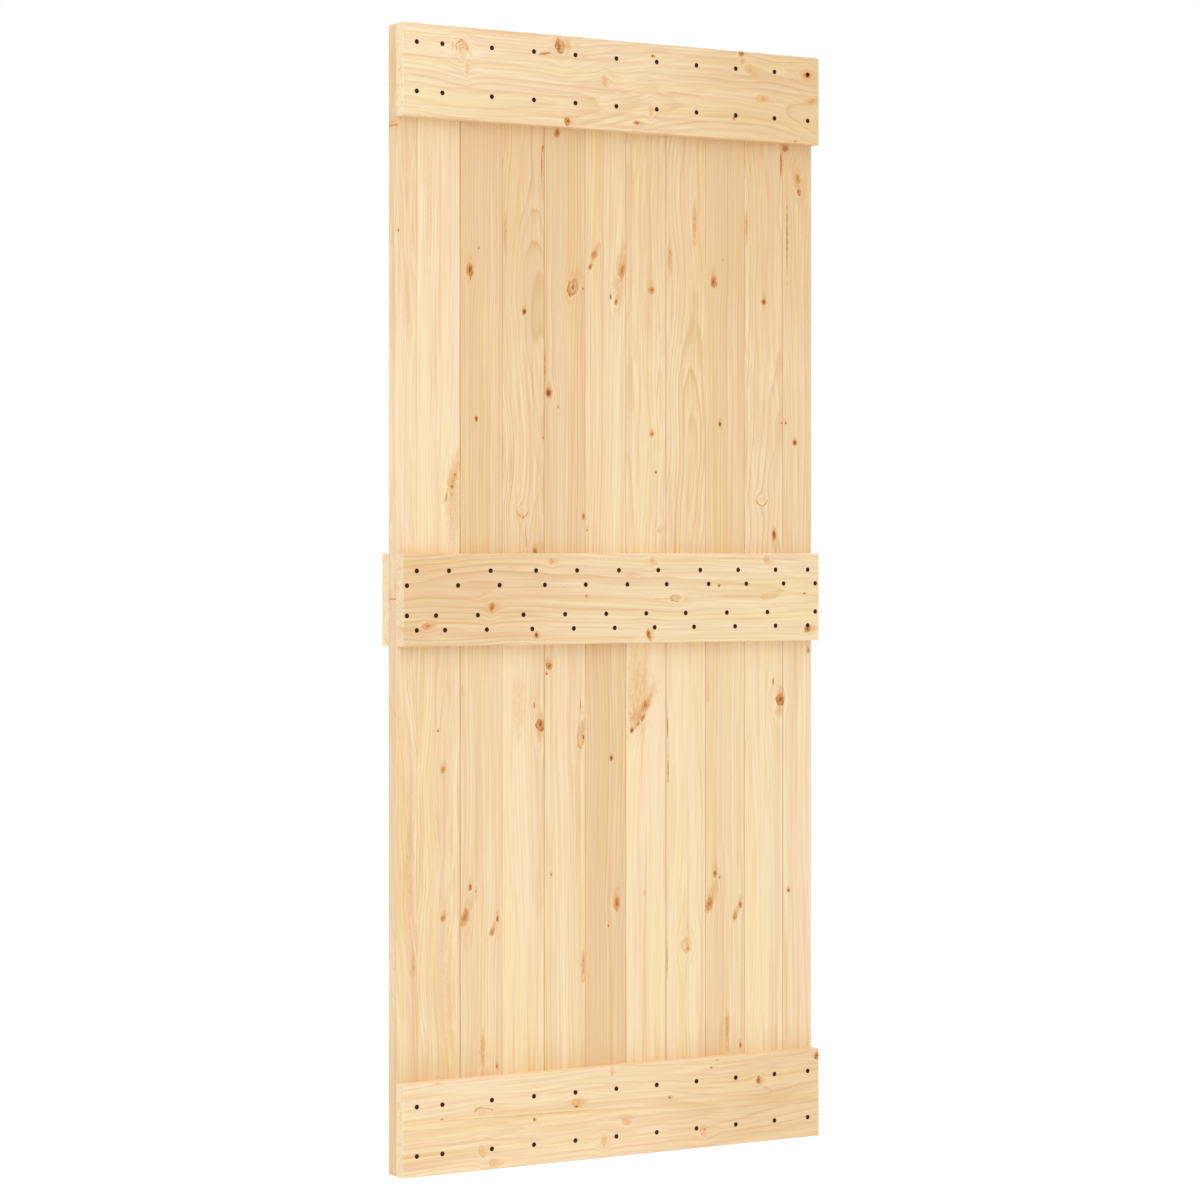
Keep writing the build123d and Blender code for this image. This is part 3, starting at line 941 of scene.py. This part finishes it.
def screw_places(node_name):
    """Middles of a row's screws as an array of x and z, and the y of their heads and points."""
    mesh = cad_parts[node_name].data
    corners = np.empty(len(mesh.vertices) * 3)
    mesh.vertices.foreach_get("co", corners)
    corners = corners.reshape(-1, 3)
    top = corners[:, 1].min()
    heads = corners[corners[:, 1] < top + 1e-5]
    heads = heads[np.argsort(heads[:, 0])]
    starts = np.flatnonzero(np.diff(heads[:, 0]) > LEAST_SCREW_GAP) + 1
    middles = [group.mean(axis=0)[[0, 2]] for group in np.split(heads, starts)]
    return np.array(middles), top, corners[:, 1].max()


def screw_surface(screws, top, tip, turn):
    """One screw as rings of points about the y axis, at the origin.

    The profile is a list of radii and depths from the head's middle to the point. Inside the recess
    the depth grows by recess_depth, times the square root of one minus the radius over the recess's
    reach, times a smooth step of how near the point is to one of the cross's two arms.
    """
    head, shank = screws.head_diameter / 2, screws.shank_diameter / 2
    reach = screws.recess_width / 2
    neck = top + head - shank
    face_radii = np.array([0.12, 0.30, 0.5, 0.7, 0.9, 1.05]) * reach
    radii = np.concatenate([face_radii, [head * 0.97, head, shank, shank, TIP_RADIUS]])
    face_depths = np.full(len(face_radii), top + HEAD_DISH)
    depths = np.concatenate([face_depths, [top, top + RIM_LIP, neck, tip - POINT_LENGTH, tip]])
    angle = np.linspace(0.0, 2 * np.pi, screws.sides, endpoint=False)
    radius = radii[:, None]
    x = radius * np.cos(angle)
    z = radius * np.sin(angle)
    turned = angle + turn
    arm = radius * np.minimum(np.abs(np.cos(turned)), np.abs(np.sin(turned)))
    near = np.clip(1.0 - arm / ARM_HALF_WIDTH, 0.0, 1.0)
    near = near * near * (3.0 - 2.0 * near)
    inside = np.clip(1.0 - radius / reach, 0.0, 1.0)
    on_face = (np.arange(len(radii)) < len(face_radii))[:, None]
    y = depths[:, None] + on_face * screws.recess_depth * np.sqrt(inside) * near
    return np.stack([x, y, z], axis=-1)


def screw_faces(rings, sides):
    """Quads between neighbouring rings of points, and a fan at each end, all facing outwards.

    The points are the rings in order, then the middle of the head and that of the point.
    """
    ring = np.arange(rings - 1)[:, None] * sides
    side = np.arange(sides)
    after = (side + 1) % sides
    corners = [ring + side, ring + sides + side, ring + sides + after, ring + after]
    walls = np.stack(corners, axis=-1).reshape(-1, 4)
    last_ring = (rings - 1) * sides
    head_middle = np.full(sides, rings * sides)
    head_fan = np.stack([head_middle, side, after], axis=-1)
    point_fan = np.stack([head_middle + 1, last_ring + after, last_ring + side], axis=-1)
    return walls, head_fan, point_fan


def make_screws(node_name, screws, material):
    """The screws of one row, each recess turned another way, in place of their plain CAD solids."""
    middles, top, tip = screw_places(node_name)
    points, faces, start = [], [], 0
    for number, (x, z) in enumerate(middles):
        surface = screw_surface(screws, top, tip, number * 2.4 + z * 9.0)
        caps = np.array([[0.0, surface[0, :, 1].mean(), 0.0], [0.0, tip, 0.0]])
        cloud = np.concatenate([surface.reshape(-1, 3), caps]) + (x, 0.0, z)
        points.append(cloud)
        for part in screw_faces(*surface.shape[:2]):
            faces += (part + start).tolist()
        start += len(cloud)
    mesh = bpy.data.meshes.new(f"{node_name}_detailed")
    mesh.from_pydata(np.concatenate(points).tolist(), [], faces)
    mesh.validate()
    mesh.polygons.foreach_set("use_smooth", np.ones(len(mesh.polygons), dtype=bool))
    mesh.set_sharp_from_angle(angle=radians(35.0))
    mesh.materials.append(material)
    piece = bpy.data.objects.new(f"{node_name}_detailed", mesh)
    bpy.context.scene.collection.objects.link(piece)
    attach(piece, "root")
    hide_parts(node_name)
    return piece


def screw_steel(screws):
    """Blackened steel: near black, a little brown where the driver rubbed it."""
    material = bpy.data.materials.new("Blackened Screw Steel")
    material.use_nodes = True
    tree = material.node_tree
    tree.nodes.clear()
    spot = add_node(tree, "ShaderNodeTexCoord", {}).outputs["Object"]
    spot = combine(tree, "MULTIPLY", spot, (MILLIMETRES, MILLIMETRES, MILLIMETRES))
    worn = noise(tree, spot, (1.2, 1.2, 1.2), 3.0)
    rubbed = fade(tree, worn, 0.5, 0.75)
    colour = mix_colour(tree, rubbed, screws.steel, screws.rubbed_steel)
    rough = fade(tree, worn, 0.3, 0.8, 0.38, 0.6)
    bump = add_node(tree, "ShaderNodeBump", {"Height": worn, "Distance": 0.00003})
    surface = add_node(
        tree, "ShaderNodeBsdfPrincipled",
        {"Base Color": colour, "Roughness": rough, "Normal": bump.outputs[0], "Metallic": 0.1,
         "Specular IOR Level": 0.15},
    )
    add_node(tree, "ShaderNodeOutputMaterial", {"Surface": surface.outputs[0]})
    return material


class LEAF_OT_screws(bpy.types.Operator):
    """Makes the countersunk screws of every row"""

    bl_idname = "leaf.screws"
    bl_label = "Countersunk Screws"

    def execute(self, context):
        screws = context.scene.leaf_screws
        steel = screw_steel(screws)
        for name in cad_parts:
            if "screws" in name:
                make_screws(name, screws, steel)
        return {"FINISHED"}


def studio_floor(stage):
    """A wide pale floor just under the leaf: white to the camera, with the leaf's shadow on it."""
    mesh = bpy.data.meshes.new("studio_floor")
    half, level = FLOOR_HALF, cad_box[0][2] - FLOOR_DROP
    corners = [(-half, -half, level), (half, -half, level), (half, half, level), (-half, half, level)]
    mesh.from_pydata(corners, [], [(0, 1, 2, 3)])
    material = bpy.data.materials.new("Studio Floor")
    material.use_nodes = True
    tree = material.node_tree
    tree.nodes.clear()
    seen = seen_directly(tree)
    paint = add_node(tree, "ShaderNodeBsdfDiffuse", {"Color": stage.floor})
    white = add_node(tree, "ShaderNodeEmission", {"Color": (1.0, 1.0, 1.0), "Strength": FLOOR_WHITE})
    share = times(tree, seen, FLOOR_WHITE_SHARE)
    surface = add_node(tree, "ShaderNodeMixShader", {0: share, 1: paint.outputs[0], 2: white.outputs[0]})
    add_node(tree, "ShaderNodeOutputMaterial", {"Surface": surface.outputs[0]})
    mesh.materials.append(material)
    floor = bpy.data.objects.new("studio_floor", mesh)
    bpy.context.scene.collection.objects.link(floor)


def seen_directly(tree):
    """1 for rays of the camera, and for those that a mirror or a glass passes on."""
    path = add_node(tree, "ShaderNodeLightPath", {}).outputs
    seen = calculate(tree, "MAXIMUM", path["Is Camera Ray"], path["Is Glossy Ray"])
    return calculate(tree, "MAXIMUM", seen, path["Is Transmission Ray"])


def studio_world(stage):
    """Even white light from all round, and a white background."""
    world = bpy.data.worlds.new("Studio")
    world.use_nodes = True
    tree = world.node_tree
    tree.nodes.clear()
    strength = fade(tree, seen_directly(tree), 0.0, 1.0, stage.ambient, 1.0)
    light = add_node(tree, "ShaderNodeBackground", {"Color": (1.0, 1.0, 1.0), "Strength": strength})
    add_node(tree, "ShaderNodeOutputWorld", {"Surface": light.outputs[0]})
    bpy.context.scene.world = world


def place_holder(name, data, place, turn):
    """An object for a lamp or a lens, at a place and turned by degrees."""
    holder = bpy.data.objects.new(name, data)
    holder.location = place
    holder.rotation_euler = [radians(angle) for angle in turn]
    bpy.context.scene.collection.objects.link(holder)
    return holder


def key_lamp(power):
    """One broad soft lamp in front of the leaf and to the left of it."""
    lamp = bpy.data.lights.new("key_lamp", "AREA")
    lamp.energy = power
    lamp.shape = "SQUARE"
    lamp.size = KEY_LAMP_SIZE
    place_holder("key_lamp", lamp, KEY_LAMP_PLACE, KEY_LAMP_TURN)


def sky_lamp(strength):
    """Light from high above and a little to the left, soft enough to fade out below each rail."""
    sky = bpy.data.lights.new("sky_lamp", "SUN")
    sky.energy = strength
    sky.angle = radians(SKY_SPREAD)
    place_holder("sky_lamp", sky, (0.0, 0.0, 0.0), SKY_TURN)


def studio_camera():
    """A level camera to the left of the leaf, near the height of its middle."""
    lens = bpy.data.cameras.new("camera")
    lens.sensor_width = 36.0
    lens.lens = LENS_MILLIMETRES
    lens.shift_y = LENS_SHIFT
    lens.clip_end = 100.0
    bpy.context.scene.camera = place_holder("camera", lens, CAMERA_PLACE, CAMERA_TURN)


class LEAF_OT_stage(bpy.types.Operator):
    """Sets up the floor, the light and the camera"""

    bl_idname = "leaf.stage"
    bl_label = "Studio"

    def execute(self, context):
        stage = context.scene.leaf_stage
        studio_floor(stage)
        studio_world(stage)
        key_lamp(stage.key_power)
        sky_lamp(stage.sky_strength)
        studio_camera()
        context.scene.view_settings.view_transform = "Standard"
        return {"FINISHED"}


class LEAF_PT_panel(bpy.types.Panel):
    """The door leaf's settings and steps"""

    bl_idname = "LEAF_PT_panel"
    bl_label = "Door Leaf"
    bl_space_type = "VIEW_3D"
    bl_region_type = "UI"
    bl_category = "Door Leaf"

    def draw(self, context):
        layout = self.layout
        scene = context.scene
        for settings, names in (
            (scene.leaf_pine, ("pale_wood", "tan_wood", "late_wood", "knot_brown", "roughness", "relief")),
            (scene.leaf_screws, ("head_diameter", "recess_width", "recess_depth", "steel")),
            (scene.leaf_stage, ("floor", "ambient", "key_power", "sky_strength")),
        ):
            for name in names:
                layout.prop(settings, name)
        for step in STEPS:
            layout.operator(step.bl_idname)


STEPS = (LEAF_OT_boards, LEAF_OT_rails, LEAF_OT_screws, LEAF_OT_stage)
CLASSES = (PineSettings, ScrewSettings, StageSettings, *STEPS, LEAF_PT_panel)


def register():
    """Registers the classes and gives the scene their settings."""
    for item in CLASSES:
        bpy.utils.register_class(item)
    bpy.types.Scene.leaf_pine = PointerProperty(type=PineSettings)
    bpy.types.Scene.leaf_screws = PointerProperty(type=ScrewSettings)
    bpy.types.Scene.leaf_stage = PointerProperty(type=StageSettings)


def unregister():
    """Takes the settings and the classes away again."""
    del bpy.types.Scene.leaf_pine
    del bpy.types.Scene.leaf_screws
    del bpy.types.Scene.leaf_stage
    for item in reversed(CLASSES):
        bpy.utils.unregister_class(item)


def main():
    """Runs every step in order."""
    register()
    bpy.ops.leaf.boards()
    bpy.ops.leaf.rails()
    bpy.ops.leaf.screws()
    bpy.ops.leaf.stage()


if __name__ == "__main__":
    main()
